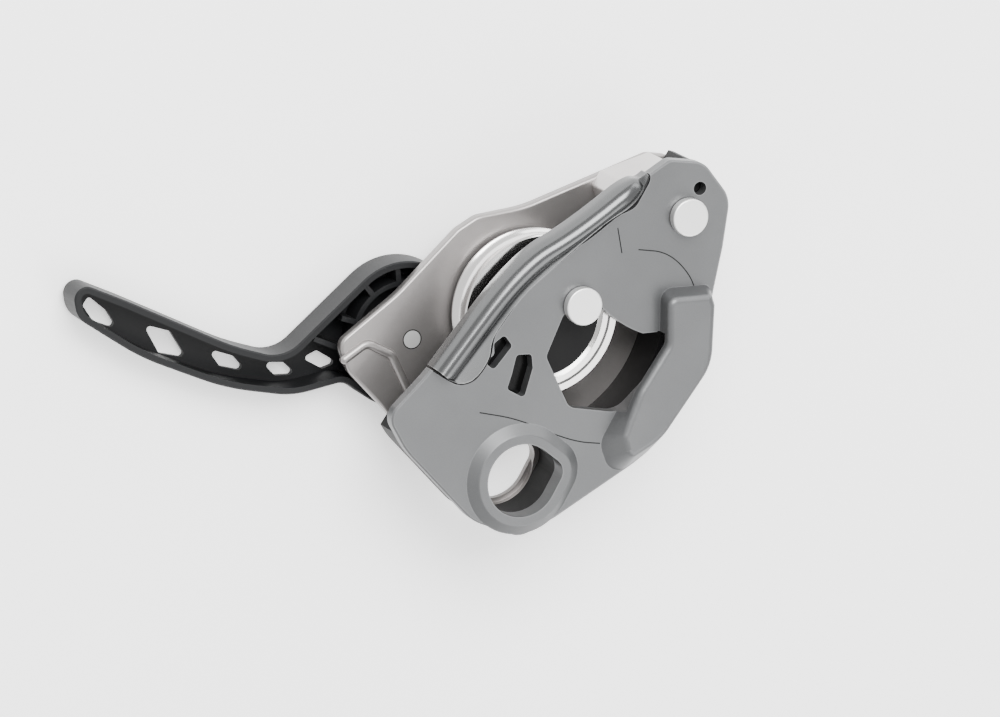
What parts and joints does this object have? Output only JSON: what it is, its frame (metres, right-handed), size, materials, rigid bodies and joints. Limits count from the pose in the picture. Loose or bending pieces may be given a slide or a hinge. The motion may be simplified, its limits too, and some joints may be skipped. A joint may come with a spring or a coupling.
{
  "type": "belay device",
  "caption": "Cam-assisted belay device with a free-running rope wheel, an opening side plate, a folding release handle and an eye for a carabiner.",
  "frame": {"origin": "centre of the carabiner eye, half way between the two side plates", "axes": "+Z along the eye axis, out through the moving side plate; +Y from the eye towards the head pivot; +X towards the closed side of the rope channel"},
  "size_m": [0.1388, 0.1075, 0.0342],
  "materials": {
    "fixed_plate_metal": "satin",
    "moving_plate_metal": "satin bead-blasted",
    "wear_steel": "brushed",
    "polished_steel": "polished",
    "block_metal": "satin",
    "pin_steel": "satin",
    "black_moulding": "fine matte",
    "gloss_moulding": "gloss",
    "handle_moulding": "fine matte",
    "bush_bronze": "satin",
    "spring_steel": "satin",
    "cam_metal": "dark anodised",
    "wheel_metal": "turned and polished"
  },
  "bodies": {
    "frame": {"fixed_side_plate": "fixed_plate_metal", "main_axle": "pin_steel", "head_pivot_pin": "pin_steel", "handle_rivet": "pin_steel", "handle_washer": "pin_steel", "friction_block": "block_metal", "block_rivets": "pin_steel", "head_spacer": "black_moulding", "spacer_rivets": "pin_steel", "channel_liner": "black_moulding", "liner_rivets": "pin_steel", "eye_sleeve": "polished_steel", "cam_circlip": "spring_steel"},
    "front_plate": {"moving_side_plate": "moving_plate_metal", "lip_wear_insert": "wear_steel", "front_liner": "gloss_moulding", "front_liner_pins": "gloss_moulding", "head_bush": "bush_bronze"},
    "cam": {"cam_hub": "cam_metal", "cam_bush": "bush_bronze", "cam_cap": "black_moulding", "release_pin": "pin_steel", "cam_spring": "spring_steel", "bearing_inner_ring": "polished_steel", "bearing_balls": "polished_steel"},
    "wheel": {"rope_wheel": "wheel_metal", "bearing_outer_ring": "polished_steel"},
    "handle": {"handle_lever": "handle_moulding", "handle_bush": "bush_bronze", "handle_dog": "pin_steel", "handle_spring_washer": "spring_steel"}
  },
  "joints": [
    {"name": "plate_swing", "type": "hinge", "parent": "frame", "child": "front_plate", "pos_m": [0.001, 0.073, 0], "axis": [0, 0, 1], "range_deg": [-105, 0]},
    {"name": "cam_swing", "type": "hinge", "parent": "frame", "child": "cam", "pos_m": [-0.0104, 0.0421, 0], "axis": [0, 0, 1], "range_deg": [-28, 0], "stiffness_Nm_per_rad": 0.02, "springref_deg": 17.19},
    {"name": "wheel_spin", "type": "hinge", "parent": "cam", "child": "wheel", "pos_m": [-0.0149, 0.0351, 0], "axis": [0, 0, 1], "continuous": true},
    {"name": "handle_fold", "type": "hinge", "parent": "frame", "child": "handle", "pos_m": [-0.0356, 0.0145, 0], "axis": [0, 0, 1], "range_deg": [-105, 18]}
  ]
}
